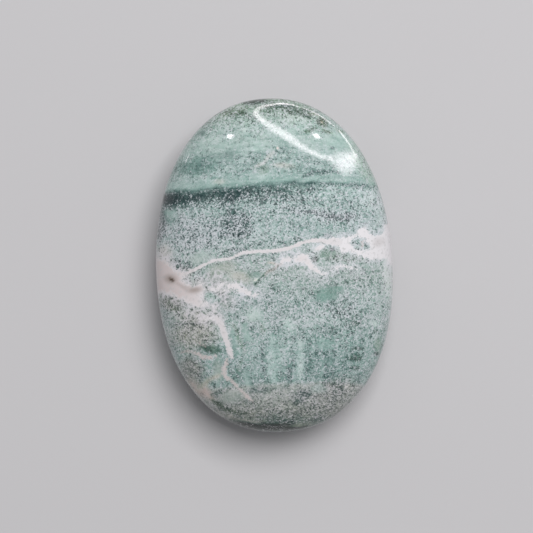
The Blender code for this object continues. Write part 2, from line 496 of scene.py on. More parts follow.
patch(-0.5, 4.9, 5.5, 0.6, tone=-0.15, teal=0.5, dark=0.25)
patch(-8.5, 3.6, 3.4, 0.6, 8, tone=-0.22, teal=0.5, dark=0.3)
patch(10, 7, 2.6, 0.9, 5, tone=-0.08, teal=0.6, calm=0.5)
patch(11.8, 6, 0.9, 0.45, -25, tone=-0.5, teal=0.5)
patch(17.8, 6.6, 1, 0.6, 20, tone=-0.2, teal=0.6, calm=0.5)
patch(-16, 2.4, 2.2, 1.4, 20, tone=0.15, teal=0.1, calm=0.8)
patch(-19.8, 0.9, 2.1, 1.2, -15, 0.35, tone=-0.38, teal=0.5, dark=0.35)
patch(-7.2, 1.9, 1.6, 0.35, 15, 0.4, tone=-0.4, teal=0.5)
patch(-0.25, 2.35, 0.25, 0.25, 0, 0.4, tone=-0.7)
# Between the two white strokes on the right
patch(11.4, 1.9, 2.3, 1, 5, tone=-0.2, teal=0.5, olive=0.2, calm=0.65)
patch(13.8, 1.4, 5, 1.2, -12, tone=-0.16, olive=0.3, dark=0.34)
patch(8.9, 1, 0.7, 0.8, 0, 0.4, tone=-0.6, olive=0.5, dark=0.6)
patch(12.8, 2.8, 0.6, 0.45, 0, 0.4, tone=-0.9, olive=0.4, calm=0.5)
patch(15.8, 1.1, 2.2, 0.8, 0, 0.4, olive=0.3, tone=-0.12, pale=0.4)
patch(4.2, 2.3, 1.2, 0.4, -10, 0.4, tone=-0.3, teal=0.5)
patch(18.8, 3.8, 1.8, 1.3, 0, 0.3, tone=-0.08, teal=0.5, dark=0.25)
# The middle
patch(-11, 0, 2.8, 1.4, 5, 0.6, warm=0.35, olive=0.12, tone=0.1, calm=0.6)
patch(-7.5, -2.2, 2.6, 1.3, -10, 0.6, warm=0.4, olive=0.12, tone=0.15, calm=0.6)
patch(-4, -1.6, 0.9, 0.7, teal=0.7, tone=-0.1, calm=0.8)
streak([(-4.4, -3.8, 0.4), (-3.7, -3.3, 0.3), (-3.3, -2.9, 0.1), (-2.8, -2.5, 0.35), (-2.2, -2, 0.2)], 0.2,
       tone=-0.85, olive=0.7, pale=0)
patch(-4.2, -2.9, 0.5, 0.25, 20, 0.4, tone=0.8, calm=1)
streak([(-2, -2, 0.3), (-1.2, -1.3, 0.5), (-0.2, -1, 0.5), (0.7, -0.1, 0.5), (1.6, 0.2, 0.5)],
       warm=0.8, tone=-0.28, calm=0.4)
streak([(-1.3, 0.9, 0.3), (-0.4, 0.6, 0.5), (0.4, 0.2, 0.4)], warm=0.7, tone=0.45, calm=0.8)
patch(-17.2, -2, 2.3, 1, 0, 0.4, tone=-0.03, teal=0.3, pale=0.6, dark=0.3)
patch(*LEFT_ISLAND, 1.7, 1, -10, 0.4, tone=0.05, teal=0.4, pale=0.35)
patch(-11.4, -4.4, 0.7, 0.4, 10, 0.4, tone=-0.1, teal=0.5)
patch(1.5, -4.4, 2, 0.9, 0, 0.6, tone=-0.12, teal=0.5)
patch(11, -6.9, 2.4, 1.4, 12, 0.6, tone=-0.11, teal=1, dark=0.05, pale=0.1, calm=0.75)
patch(13.4, -5.9, 1.8, 0.7, 10, 0.6, tone=-0.12, teal=0.9, dark=0.1, pale=0.12, calm=0.6)
patch(14.2, -10.5, 3.4, 2.6, -20, 0.6, tone=-0.15, dark=0.32)
patch(21, -6, 3.4, 5, 0, 0.6, tone=-0.05, teal=0.3)
# Pale bands along the right rim: partly the rock's own pale grains, partly painted light on the lit right
# side.
patch(24.6, -4, 1.2, 6, 4, 0.6, tone=0.35, pale=0.55)
patch(23.6, 11, 1.2, 4, 12, 0.6, tone=0.2, pale=0.5)
patch(-22.5, -7.2, 2.4, 1.4, -20, 0.4, tone=-0.4, olive=0.4, warm=0.5, dark=0.35)
patch(-17.8, -10.2, 4.5, 1.9, -8, 0.6, warm=0.5, tone=0.12, pale=0.45, dark=0.22)
patch(-20.5, -7.6, 1.3, 0.9, -20, tone=-0.35, olive=0.3, dark=0.35, pale=0.3)
patch(-18.9, -10, 0.4, 1, tone=-0.3, teal=0.4)
patch(-15.1, -9, 1.2, 0.9, 0, 0.4, tone=0, teal=0.4, pale=0.4)
patch(-4.7, -10.7, 1.6, 1.3, 0, 0.6, tone=0.32, calm=0.6)
# The lower left
patch(-18, -14.2, 4.8, 3.2, 0, 0.6, warm=0.55, olive=0.15, tone=-0.06, dark=0.28, pale=0.35)
streak([(-21, -11.7, 0.5), (-17, -11.8, 0.4), (-14.2, -11.6, 0.3)], tone=-0.4, dark=0.4)
patch(-14.5, -17.6, 2.2, 0.9, -12, 0.35, tone=-0.5, teal=0.3, olive=0.4, dark=0.3, pale=0, calm=0.4)
patch(-18.8, -21.8, 2.4, 3.2, 20, 0.6, warm=0.55, tone=-0.15, dark=0.35)
patch(-13.2, -21.8, 1, 2.2, 0, 0.6, calm=0.8, warm=0.25, tone=0)
streak([(-19.4, -24.2, 1.4), (-17.8, -25.6, 2.4), (-16.2, -26.6, 2.2), (-14.8, -27.8, 1)], 1.2,
       warm=0.85, tone=0.2, calm=0.6, dark=0.1)
streak([(-17.6, -25.6, 1), (-15.4, -24.2, 1.1), (-13.2, -22.9, 0.5)], 0.6, warm=0.6, olive=0.2, tone=0.2,
       calm=0.5)
streak([(-14.8, -27, 0.5), (-13.2, -26.8, 0.6), (-12, -26.3, 0.5), (-10.4, -26.1, 0.4)], tone=-0.4,
       teal=0.3)
patch(-13.9, -27.6, 0.7, 0.5, tone=-0.35, teal=0.2)
patch(-10.6, -27.9, 2.2, 1.4, calm=0.85, tone=0.02, teal=0, warm=0.3)
# Thin layers that run along the lower left rim
streak([(-14.8, -28.3, 0.6), (-13.2, -29.7, 0.9), (-11.6, -30.7, 1), (-9.6, -31.3, 0.7),
        (-7.6, -31.4, 0.3)], 0.4, tone=-0.58, olive=0.6, pale=0.15, dark=0.4)
streak([(-14.4, -30.2, 0.3), (-12, -31.8, 0.6), (-8.5, -33, 0.5), (-4, -33.6, 0.3)], 0.3, warm=0.6,
       tone=-0.2, calm=0.6)
# The darkest one, along the bottom rim, is partly a dark layer of the rock and partly painted shade with a
# painted dark reflection.
streak([(-12.5, -32.4, 0.5), (-7, -34.4, 1.2), (0, -35.1, 1.5), (5, -34.9, 0.8)], 0.6,
       tone=-1.1, olive=0.5, dark=0.6, pale=0.05)
# The streaked lower half: dark and pale columns side by side
COLUMNS = [
    ([(-9.2, -12.5, 0.8), (-8.5, -14, 0.9), (-8.1, -15.8, 0.8), (-7.2, -18.4, 0.5)],
     dict(tone=-0.3, olive=0.45)),
    ([(-8.3, -20.5, 0.5), (-8.8, -22.3, 0.7)], dict(tone=-0.3, olive=0.4)),
    ([(-9.6, -13.5, 0.7), (-9.4, -16, 0.8), (-9.1, -19, 0.6)], dict(teal=0.7, calm=0.9, tone=-0.02)),
    ([(-3.5, -12.8, 0.5), (-3, -14, 0.8)], dict(tone=-0.3, olive=0.6)),
    ([(-3.4, -16, 0.6), (-3.4, -20, 0.7), (-3.3, -22.2, 1.1), (-3, -23.6, 0.6)],
     dict(tone=-0.2, dark=0.32)),
    ([(-6.8, -12.8, 1.4), (-6.6, -15.4, 1.3)], dict(tone=0.08, calm=0.8, teal=0.4)),
    ([(-7.2, -23.2, 1.6), (-7, -25.4, 1.4)], dict(calm=0.8, teal=0.3, tone=0.08)),
    ([(-1, -15.6, 1.6), (-0.9, -20, 3), (-1.4, -24.4, 1.6)], dict(calm=0.4, tone=0.17, teal=0.4)),
    ([(3.7, -15.2, 0.9), (3, -17.5, 0.6), (3.1, -20.2, 0.7), (2.3, -23.2, 0.7), (2.2, -24.9, 1.3)],
     dict(tone=-0.25, dark=0.3, teal=0.3)),
    ([(4.8, -16.8, 1.3), (4.9, -19.5, 1.4), (4.5, -22, 1.5), (4.1, -24.3, 1)],
     dict(tone=0.3, calm=0.4, teal=0.2)),
    ([(7.1, -14.4, 0.8), (6.6, -17, 0.8), (6.5, -20.6, 0.9), (6.5, -23.6, 0.8), (5.2, -25.6, 1)],
     dict(tone=-0.12, teal=0.5, dark=0.25)),
    ([(18, -12.4, 0.4), (18.1, -17.2, 0.35)], dict(tone=-0.4)),
    ([(12.7, -24.2, 0.3), (10.4, -25.6, 0.4)], dict(tone=-0.4, teal=0.3)),
    ([(-7, -26.6, 1), (-4.4, -26.6, 1.1), (-1, -26.5, 0.5), (1.2, -26.3, 0.6)], dict(tone=-0.28, teal=0.5)),
]
for knots, traits in COLUMNS:
    streak(knots, 0.5, **traits)
patch(2.2, -12.8, 1.1, 1.4, 0, 0.6, tone=0.28)
patch(12.5, -18.5, 5.5, 5, tone=-0.2, teal=0.5, dark=0.16, pale=0.24)
patch(10.5, -28.5, 5.5, 2.6, 25, 0.6, warm=0.5, tone=-0.2, dark=0.35, pale=0.36, calm=0.1)
patch(10.2, -17.6, 2.1, 1.2, teal=0.6, calm=0.65, tone=0)
patch(11, -21.2, 1.2, 1, teal=0.5, calm=0.8)
patch(13.8, -15, 2, 1.4, 0, 0.6, tone=-0.2, dark=0.32)
OLIVE_SPOTS = [(16.6, -21, 1.2, 0.8, -0.5), (16.6, -23, 1, 0.4, -0.4), (17.4, -18.8, 1.3, 0.4, -0.5),
               (21.2, -20.2, 0.7, 0.4, -0.8), (21.2, -15, 0.5, 0.3, -0.5), (17, -13.3, 1, 0.5, -0.35)]
for x, y, half_wide, half_tall, tone in OLIVE_SPOTS:
    patch(x, y, half_wide, half_tall, tone=tone, olive=0.3, dark=0.4)
patch(21.6, -18.2, 0.9, 1.6, 0, 0.6, olive=0.4, tone=-0.1, calm=0.6)
patch(20.8, -13.6, 0.9, 0.6, 0, 0.6, tone=0.4, calm=0.4)
patch(8.3, -27.2, 1.6, 1, 0, 0.6, tone=0.1, calm=0.6, warm=0.15)
patch(4.8, -28.3, 1.9, 1.3, 0, 0.6, tone=-0.45, dark=0.42)
patch(14.3, -27, 0.35, 0.35, tone=0.5, warm=0.3)
patch(6, -31.6, 5.5, 1, 14, 0.6, tone=-0.25, dark=0.4)
patch(1.2, -33.8, 2.2, 0.5, 2, tone=-0.5)
patch(4.5, -34.6, 2.6, 0.4, 6, tone=-0.25, calm=0.5, warm=0.4)
print_traits("traits after the patches:")

# %% [markdown]
# Where quartz seeped into the rock beside a vein, it left a lace: pale threads around small green
# islands, and more pale grains the nearer the vein is. The lobes and branches have it, and so has a
# patch on the lower left, while the long main vein is crisp on both sides.

# %% Lace beside the veins
# Where lace grew away from the veins: x, y and how far it reaches
LACE_FIELDS = [(-15, -9.5, 4.5), (-10, -7.5, 3.0), (-19, -9.5, 2.5), (-13, -2, 3.0), (3.5, 0.5, 3.0),
               (14, 0.5, 2.5)]


def away_from(x, y):
    return np.hypot(rippled[:, 0] - x, rippled[:, 1] - y)


lace = 0.9 * soft_step(ragged_vein, -2.2, -0.2)
for x, y, reach in LACE_FIELDS:
    lace = np.maximum(lace, 0.8 * (1 - soft_step(away_from(x, y), reach * 0.4, reach)))
# There is less of it on the right, and none on the small island of the left lobe
lace *= 1 - 0.5 * soft_step(plan[:, 0], 5, 9)
lace *= soft_step(away_from(*LEFT_ISLAND), 1.0, 2.0)
rock["pale"] += 0.30 * soft_step(ragged_vein, -1.0, 0.0)
rock["warm"] = np.maximum(rock["warm"], 0.45 * lace * soft_step(-plan[:, 0], 6, 12))
print("share of points with lace:", round(float((lace > 0.3).mean()), 3))

# %% [markdown]
# The veins have stains of their own: the left lobe is rosier than the right one and holds a small
# brown spot with a taupe trail, and the right lobe has one beige spot. They are kept as three more
# numbers on the points: how rosy, how taupe and how brown each is.

# %% Stains in the veins
# How rosy the veins are from left to right, as x and amount
ROSY_ACROSS = [(-21, 0.9), (-14, 0.15), (-4, 0.3), (8, 0.4), (14, 0.0)]
TRAIL = [(-21.6, -2.5, 0.6), (-20.6, -3.2, 0.7), (-19.4, -4.0, 1.1), (-18.0, -4.5, 1.7), (-16.7, -4.5, 1.5),
         (-15.9, -4.0, 0.6)]
shown = depth < 1


def blot(x, y, half_long, half_high, turn, soft):
    """An ellipse on the shown face only, with an even edge."""
    return ellipse(plan, x, y, half_long, half_high, turn, soft) * shown


rosy = np.interp(plan[:, 0], *np.array(ROSY_ACROSS).T)
rosy = np.maximum(rosy, blot(-24.8, -3.2, 1.0, 1.8, 0, 0.8) * 1.2)
taupe = 0.48 * soft_step(inside_stroke(plan, TRAIL), -0.3, 0.4) * shown
beige_spot = blot(22.8, 3.9, 1.2, 0.9, 20, 0.7)
for stain in (0.95 * blot(-17.4, -4.5, 1.5, 0.6, 5, 0.8), 0.9 * blot(-22.5, -1.9, 1.3, 0.9, -15, 0.7),
              0.15 * soft_step(np.maximum(main_vein, lower_vein), -0.2, 0.2), 0.2 * beige_spot):
    taupe = np.maximum(taupe, stain)
brown = np.maximum(blot(-22.25, -2.05, 0.62, 0.3, -30, 0.6), 0.09 * beige_spot)
print("stained points:", int((brown > 0.5).sum()), int((taupe > 0.5).sum()))

# %% [markdown]
# Every number goes onto the mesh as a named attribute, so the material can read it. The pattern
# then stays with the stone however it is turned, and it needs no picture and no unwrapping. Two
# more numbers say where the rock is layered, as near the top, and where it is combed, lower down.

# %% Store the markings on the points


def store(onto, name, values):
    """Keeps one number for each point of a mesh."""
    layer = onto.attributes.new(name, "FLOAT", "POINT")
    layer.data.foreach_set("value", np.asarray(values, np.float32))


VEIN_REACH = 3.0
markings = dict(rock, fray=fray, lace=lace, rosy=rosy, taupe=taupe, brown=brown)
markings["vein"] = np.clip(vein, -VEIN_REACH, VEIN_REACH)
markings["faint_vein"] = np.clip(faint_vein, -VEIN_REACH, VEIN_REACH)
markings["layered"] = 0.15 + 0.6 * soft_step(plan[:, 1], 13, 19)
markings["combed"] = 0.7 * soft_step(plan[:, 1], -9, -14) * (plan[:, 1] > -40)
for name, values in markings.items():
    store(mesh, name, values)
print("attributes:", [layer.name for layer in mesh.attributes if layer.data_type == "FLOAT"])

# %% [markdown]
# Blender works in linear light, while colours are easier to judge as a paint chart gives them, from
# 0 to 255. The rock has one scale of five colours, from the near-black of the deepest grains to the
# bone white of the palest, and three tints that pull it towards teal, olive or a warm tan.

# %% The colours of the stone


def chart(red, green, blue):
    """A chart colour, 0 to 255, in linear light."""
    linear = []
    for value in (red / 255, green / 255, blue / 255):
        linear.append(value / 12.92 if value <= 0.04045 else ((value + 0.055) / 1.055) ** 2.4)
    return (*linear, 1)


ROCK_SCALE = [
    (0.00, chart(24, 42, 44)),
    (0.25, chart(86, 114, 111)),
    (0.50, chart(151, 174, 169)),
    (0.70, chart(190, 207, 203)),
    (1.00, chart(232, 230, 230)),
]
TEAL_TINT = (0.80, 0.97, 0.93, 1)
OLIVE_TINT = (0.93, 1.00, 0.70, 1)
WARM_TINT = (1.43, 0.87, 0.83, 1)
PALE_GRAIN = chart(224, 225, 232)
WARM_PALE_GRAIN = chart(221, 211, 213)
DARK_GRAIN = chart(24, 44, 48)
OLIVE_DARK_GRAIN = chart(58, 66, 48)
BONE_WHITE = chart(232, 229, 232)
ROSY_WHITE = chart(217, 204, 203)
VEIN_SHADE = chart(206, 205, 206)
TAUPE = chart(146, 131, 122)
STAIN_BROWN = chart(74, 58, 42)
print("rock scale:", [tuple(round(part, 3) for part in colour[:3]) for _, colour in ROCK_SCALE])

# %% [markdown]
# The material is a web of small nodes, so a few helpers keep it readable: one adds a node and fills
# its inputs, and the others are the nodes used most. All sizes in the material are in millimetres,
# which the object's own coordinates give when they are multiplied by a thousand.

# %% Helpers for the material
finish = bpy.data.materials.new("polished_agate")
finish.use_nodes = True
tree = finish.node_tree


def node(kind, inputs, **settings):
    """Adds a node. An input is either another node's output or a plain value."""
    made = tree.nodes.new(kind)
    for name, value in settings.items():
        setattr(made, name, value)
    for place, value in inputs.items():
        if isinstance(value, bpy.types.NodeSocket):
            tree.links.new(value, made.inputs[place])
        else:
            made.inputs[place].default_value = value
    return made


def number(name):
    return node("ShaderNodeAttribute", {}, attribute_name=name).outputs["Fac"]


def calc(operation, *values):
    return node("ShaderNodeMath", dict(enumerate(values)), operation=operation).outputs[0]


def step(value, low_end, high_end):
    inputs = {"Value": value, "From Min": low_end, "From Max": high_end}
    return node("ShaderNodeMapRange", inputs, interpolation_type="SMOOTHSTEP").outputs["Result"]


def vector_calc(operation, inputs):
    return node("ShaderNodeVectorMath", inputs, operation=operation).outputs[0]


def blend(amount, under, over, way="MIX"):
    """Mixes two colours. A mix node has its colours in sockets 6 and 7, and its answer in 2."""
    inputs = {"Factor": amount, 6: under, 7: over}
    return node("ShaderNodeMix", inputs, data_type="RGBA", blend_type=way).outputs[2]


place = node("ShaderNodeTexCoord", {}).outputs["Object"]
in_mm = vector_calc("SCALE", {0: place, "Scale": 1 / MM})


def mottle(size, detail=3.0, where=in_mm):
    """Cloudy noise whose lumps are about size mm across, centred on 0."""
    made = node("ShaderNodeTexNoise", {"Vector": where, "Scale": 1 / size, "Detail": detail})
    return calc("SUBTRACT", made.outputs["Fac"], 0.5)


print("nodes so far:", len(tree.nodes))

# %% [markdown]
# The speckle is made of mineral grains, each of one colour. A Voronoi texture splits space into
# cells, and its random colour gives every cell a number of its own: the lowest become dark grains
# and the highest pale ones, in the share that the map asks for at that place. Bending the space
# first keeps the cells from looking like a mosaic. Coarse and fine grains are laid over each other.

# %% Mineral grains
FINE_GRAIN = 0.25
COARSE_GRAIN = 0.50
BEND_LUMPS = 0.7
GRAIN_BEND = 0.45
GRAIN_EDGE = (-0.03, 0.04)
DARK_CLUMPING = -0.6
PALE_CLUMPING = 0.8
bender = node("ShaderNodeTexNoise", {"Vector": in_mm, "Scale": 1 / BEND_LUMPS, "Detail": 2.0})
bend = vector_calc("SUBTRACT", {0: bender.outputs["Color"], 1: (0.5, 0.5, 0.5)})
bend = vector_calc("SCALE", {0: bend, "Scale": GRAIN_BEND})
bent = vector_calc("ADD", {0: in_mm, 1: bend})
roughly = calc("SUBTRACT", 1.0, calc("MULTIPLY", number("calm"), 0.85))
clumps = mottle(1.8, 4.0)


def grains(size, dark_force, pale_force):
    """How much of a dark grain and of a pale grain there is, for one size of grain."""
    cells = node("ShaderNodeTexVoronoi", {"Vector": bent, "Scale": 1 / size})
    parts = node("ShaderNodeSeparateColor", {0: cells.outputs["Color"]})
    draw, force = parts.outputs[0], calc("MULTIPLY_ADD", parts.outputs[1], 0.7, 0.3)
    dark_share = calc("MULTIPLY_ADD", clumps, DARK_CLUMPING, number("dark"))
    pale_share = calc("MULTIPLY_ADD", clumps, PALE_CLUMPING, number("pale"))
    dark = step(calc("SUBTRACT", dark_share, draw), *GRAIN_EDGE)
    pale = step(calc("SUBTRACT", calc("ADD", pale_share, draw), 1.0), *GRAIN_EDGE)
    force = calc("MULTIPLY", force, roughly)
    return [calc("MULTIPLY", calc("MULTIPLY", dark, force), dark_force),
            calc("MULTIPLY", calc("MULTIPLY", pale, force), pale_force)]


coarse_dark, coarse_pale = grains(COARSE_GRAIN, 0.45, 0.25)
fine_dark, fine_pale = grains(FINE_GRAIN, 0.85, 0.68)
print("grain sizes in mm:", FINE_GRAIN, COARSE_GRAIN)

# %% [markdown]
# Now the map's tone and a cloudy noise are added up, and the sum is looked up on the rock's scale
# of colours. A noise that is drawn out along x gives the thin layers of the upper part, and one
# that is drawn out along y the comb of the lower half. The tints are multiplied over the sum, as a
# stain would colour the stone. Pale curls go on top, where a noise passes through zero, and then
# the grains. Pale grains are a little lilac, and dark ones are green.

# %% The green rock
CURL_SIZE = 0.9
# Where a noise is drawn out, its scale along each axis, and the size of its lumps
DRAWN_OUT = [("layered", (0.15, 1, 1), 0.8), ("combed", (1, 0.12, 1), 1.1)]
tone = calc("MULTIPLY_ADD", mottle(4.5, 3.0), 0.5, number("tone"))
tone = calc("MULTIPLY_ADD", calc("MULTIPLY", mottle(0.9, 5.0), roughly), 0.5, tone)
for marking, squeeze, size in DRAWN_OUT:
    drawn_out = vector_calc("MULTIPLY", {0: bent, 1: squeeze})
    tone = calc("MULTIPLY_ADD", mottle(size, 2.0, drawn_out), number(marking), tone)
shade = node("ShaderNodeValToRGB", {"Fac": calc("MULTIPLY_ADD", tone, 0.5, 0.5)})
ramp = shade.color_ramp
ramp.elements[0].position, ramp.elements[0].color = ROCK_SCALE[0]
ramp.elements[1].position, ramp.elements[1].color = ROCK_SCALE[-1]
for place_on_scale, colour in ROCK_SCALE[1:-1]:
    ramp.elements.new(place_on_scale).color = colour
rock_colour = shade.outputs["Color"]
teal_here = calc("ADD", number("teal"), mottle(2.5, 3.0))
for amount, tint in [(teal_here, TEAL_TINT), (number("olive"), OLIVE_TINT), (number("warm"), WARM_TINT)]:
    rock_colour = blend(amount, rock_colour, tint, "MULTIPLY")
pale_grain = blend(number("warm"), PALE_GRAIN, WARM_PALE_GRAIN)
dark_grain = blend(number("olive"), DARK_GRAIN, OLIVE_DARK_GRAIN)
ridge = calc("ABSOLUTE", mottle(CURL_SIZE, 2.0, bent))
curls = step(ridge, calc("MULTIPLY_ADD", number("pale"), 0.10, 0.01), 0.0)
rock_colour = blend(calc("MULTIPLY", calc("MULTIPLY", curls, roughly), 0.5), rock_colour, pale_grain)
for dark, pale in [(coarse_dark, coarse_pale), (fine_dark, fine_pale)]:
    rock_colour = blend(pale, rock_colour, pale_grain)
    rock_colour = blend(dark, rock_colour, dark_grain)
print("ramp stops:", len(ramp.elements))

# %% [markdown]
# The lace threads are the walls between larger bent cells, drawn where the map says that there is
# lace, and broken up by noise so that no island is fully closed.

# %% The lace
ISLAND_SIZE = 1.25
walls = node("ShaderNodeTexVoronoi", {"Vector": bent, "Scale": 1 / ISLAND_SIZE}, feature="DISTANCE_TO_EDGE")
wall_distance = calc("MULTIPLY", walls.outputs["Distance"], ISLAND_SIZE)
wall_distance = calc("MULTIPLY_ADD", mottle(0.5, 3.0), 0.35, wall_distance)
threads = calc("MULTIPLY", step(wall_distance, 0.27, 0.10), number("lace"))
threads = calc("MULTIPLY", threads, step(mottle(2.0, 2.0), -0.18, 0.06))
rock_colour = blend(calc("MULTIPLY", threads, 0.85), rock_colour, pale_grain)
print("islands in mm:", ISLAND_SIZE)

# %% [markdown]
# A vein's edge in real agate is crisp but ragged, because quartz grew into the rock grain by grain.
# The map gives the distance to the edge in millimetres, so adding a little fine noise to it before
# the cut frays the edge without moving the vein. The map also says how much: little on the main
# vein, more on the lobes, which are whitest along their rim and stained further in.

# %% The veins over the rock
COVER_FROM = -0.11
raggedness = calc("MULTIPLY_ADD", mottle(0.32, 2.0), 1.2, mottle(1.0, 4.0))
edge = calc("MULTIPLY_ADD", raggedness, number("fray"), number("vein"))
faint_edge = calc("MULTIPLY_ADD", raggedness, LOWER_FRAY, number("faint_vein"))
stained = calc("MULTIPLY_ADD", step(edge, 0.25, 0.9), 0.6, 0.4)
vein_colour = blend(calc("MULTIPLY", stained, number("rosy")), BONE_WHITE, ROSY_WHITE)
vein_colour = blend(step(mottle(0.6, 5.0), 0.0, 0.25), vein_colour, VEIN_SHADE)
vein_colour = blend(calc("MULTIPLY", number("taupe"), 0.7), vein_colour, TAUPE)
faint_cover = calc("MULTIPLY", step(faint_edge, -0.28, 0.35), 0.8)
surface_colour = blend(faint_cover, rock_colour, ROSY_WHITE)
full_at = calc("MULTIPLY_ADD", number("fray"), 0.2, 0.05)
surface_colour = blend(step(edge, COVER_FROM, full_at), surface_colour, vein_colour)
surface_colour = blend(number("brown"), surface_colour, STAIN_BROWN)
print("nodes so far:", len(tree.nodes))

# %% [markdown]
# Polished agate is glassy: refractive index 1.54, almost no roughness, and only faint waves from
# the felt wheel, which show as life in the reflections rather than as relief. So the roughness
# varies a little and the bump is a few thousandths of a millimetre.

# %% The polish
REFRACTIVE_INDEX = 1.54
ROUGHNESS = 0.085
ROUGHNESS_SWING = 0.08
WAVE_HEIGHT = 0.004 * MM
shader = tree.nodes["Principled BSDF"]
shader.inputs["IOR"].default_value = REFRACTIVE_INDEX
tree.links.new(surface_colour, shader.inputs["Base Color"])
roughness = calc("MULTIPLY_ADD", mottle(2.2, 4.0), ROUGHNESS_SWING, ROUGHNESS)
tree.links.new(roughness, shader.inputs["Roughness"])
waves = node("ShaderNodeBump", {"Height": mottle(5.0, 1.0), "Distance": WAVE_HEIGHT, "Strength": 1.0})
tree.links.new(waves.outputs["Normal"], shader.inputs["Normal"])
mesh.materials.append(finish)
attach(stone, "root")
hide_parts("palm_stone")
print("material nodes:", len(tree.nodes), "links:", len(tree.links))

# %% [markdown]
# The camera looks straight down on the lying stone, because the picture shows the stone's face square
# on. It stands 0.4 m above the widest part, turned by the small angle that the stone leans by, with a
# lens that makes the stone 333 of 533 pixels tall.

# %% Camera
PICTURE_SIDE = 533
STONE_TALL_IN_PIXELS = 333.5
LEAN = math.radians(2.75)
SENSOR = 36.0
pixels_per_metre = STONE_TALL_IN_PIXELS / (high.y - low.y)
lens = bpy.data.cameras.new("camera")
lens.sensor_width = SENSOR
lens.lens = SENSOR * pixels_per_metre * CAMERA_HEIGHT / PICTURE_SIDE
camera = add_object("camera", lens)
camera.location = (AIM[0] * MM, AIM[1] * MM, CAMERA_HEIGHT + GIRDLE_HEIGHT * MM)
camera.rotation_euler = (0, 0, -LEAN)
bpy.context.scene.camera = camera
print("focal length in mm:", round(lens.lens, 2))

# %% [markdown]
# A plain pale floor and one big soft lamp make studio light that hides nothing. The lamp hangs
# high, towards the stone's upper right, so the lower left rim falls off into shade and the dome
# reads as round. It is kept out of the reflections, because a polished stone would mirror it as a
# square on the crown. A dim even sky fills the shade.

# %% Floor, lamp and sky
FLOOR_SIDE = 3.0
KEY_AZIMUTH = math.radians(32)
KEY_ELEVATION = math.radians(67)
KEY_DISTANCE = 1.0
KEY_SIDE = 0.55
KEY_SHARE = 0.84
SKY_SHARE = 0.27
SKY_COLOUR = (0.97, 0.985, 1.0, 1)
PAPER_COLOUR = chart(201, 199, 201)
PAPER_ROUGHNESS = 0.9

floor_mesh = bpy.data.meshes.new("floor")
half = FLOOR_SIDE / 2
corners = [(-half, -half, 0), (half, -half, 0), (half, half, 0), (-half, half, 0)]
floor_mesh.from_pydata(corners, [], [(0, 1, 2, 3)])
floor = add_object("floor", floor_mesh)
paper = bpy.data.materials.new("pale_paper")
paper.use_nodes = True
sockets = paper.node_tree.nodes["Principled BSDF"].inputs
sockets["Base Color"].default_value = PAPER_COLOUR
sockets["Roughness"].default_value = PAPER_ROUGHNESS
sockets["Specular IOR Level"].default_value = 0.0
floor_mesh.materials.append(paper)


def from_angles(azimuth, elevation):
    """A direction: azimuth turns from +Y towards +X, elevation rises from the floor."""
    flat = math.cos(elevation)
    return Vector((math.sin(azimuth) * flat, math.cos(azimuth) * flat, math.sin(elevation)))


key = bpy.data.lights.new("key", "AREA")
key.size = KEY_SIDE
key.energy = KEY_SHARE * (math.pi * KEY_DISTANCE) ** 2
key_lamp = add_object("key", key)
key_lamp.location = from_angles(KEY_AZIMUTH, KEY_ELEVATION) * KEY_DISTANCE
key_lamp.rotation_euler = key_lamp.location.to_track_quat("Z", "Y").to_euler()
key_lamp.visible_glossy = False

sky = bpy.data.worlds.new("sky")
sky.use_nodes = True
sockets = sky.node_tree.nodes["Background"].inputs
sockets["Color"].default_value = SKY_COLOUR
sockets["Strength"].default_value = SKY_SHARE
bpy.context.scene.world = sky
bpy.context.scene.view_settings.view_transform = "Standard"
print("lamp energy in W:", round(key.energy, 2))

# %% [markdown]
# The polish shows best in the one bright loop at the top of the stone, the mirror image of a ring
# shaped lamp. Instead of guessing where such a lamp would hang, its glowing strips are placed
# backwards: a ray goes from the camera to a point of the loop on the stone, is mirrored there, and
# the strip goes where the mirrored ray leads. For that, the stone's height and slope are needed at
# any point of its face.

# %% Mirror a camera ray at the stone


CLOSING_STEPS = 40


def face_height(x, y):
    """Height of the shown face in mm. The crown leans a little, so the answer is closed in on."""
    rise = 0.5
    for _ in range(CLOSING_STEPS):
        along = (y - CROWN_SHIFT[1] * rise**2) / HALF_LENGTH
        across = (x - CROWN_SHIFT[0] * rise**2) / (HALF_WIDTH * (1 - EGG_TAPER * along))
        out = (abs(across) ** OUTLINE_POWER + abs(along) ** OUTLINE_POWER) ** (1 / OUTLINE_POWER)
        rise = (1 - min(out, 1) ** PROFILE_POWER) ** (1 / PROFILE_POWER)
    return GIRDLE_HEIGHT + rise * FRONT_RISE


SLOPE_STEP = 0.01
LAMP_DISTANCE = 180.0
OVER_FLOOR = 1.5


def mirrored_place(x, y):
    """Where a lamp has to be, in mm, for the camera to see it mirrored at x, y of the plan."""
    nearer = 1 - (face_height(x, y) - GIRDLE_HEIGHT) * MM / CAMERA_HEIGHT
    x, y = AIM + (np.array([x, y]) - AIM) * nearer
    spot = Vector((x, y, face_height(x, y)))
    slope_x = (face_height(x + SLOPE_STEP, y) - face_height(x - SLOPE_STEP, y)) / (2 * SLOPE_STEP)
    slope_y = (face_height(x, y + SLOPE_STEP) - face_height(x, y - SLOPE_STEP)) / (2 * SLOPE_STEP)
    normal = Vector((-slope_x, -slope_y, 1)).normalized()
    ray = (spot - camera.location / MM).normalized().reflect(normal)
    reach = LAMP_DISTANCE
    if ray.z < 0:
        reach = min(reach, (spot.z - OVER_FLOOR) / -ray.z)
    return spot + ray * reach


print("the crown mirrors", tuple(round(part) for part in mirrored_place(0, 0)))

# %% [markdown]
# Each strip is a ribbon that glows in the middle and fades to its edges, like the edge of a
# diffuser, and is clear glass apart from its glow, so that one strip doesn't hide another. The
# strips are seen in gloss only: they light no floor and cast no shadow.

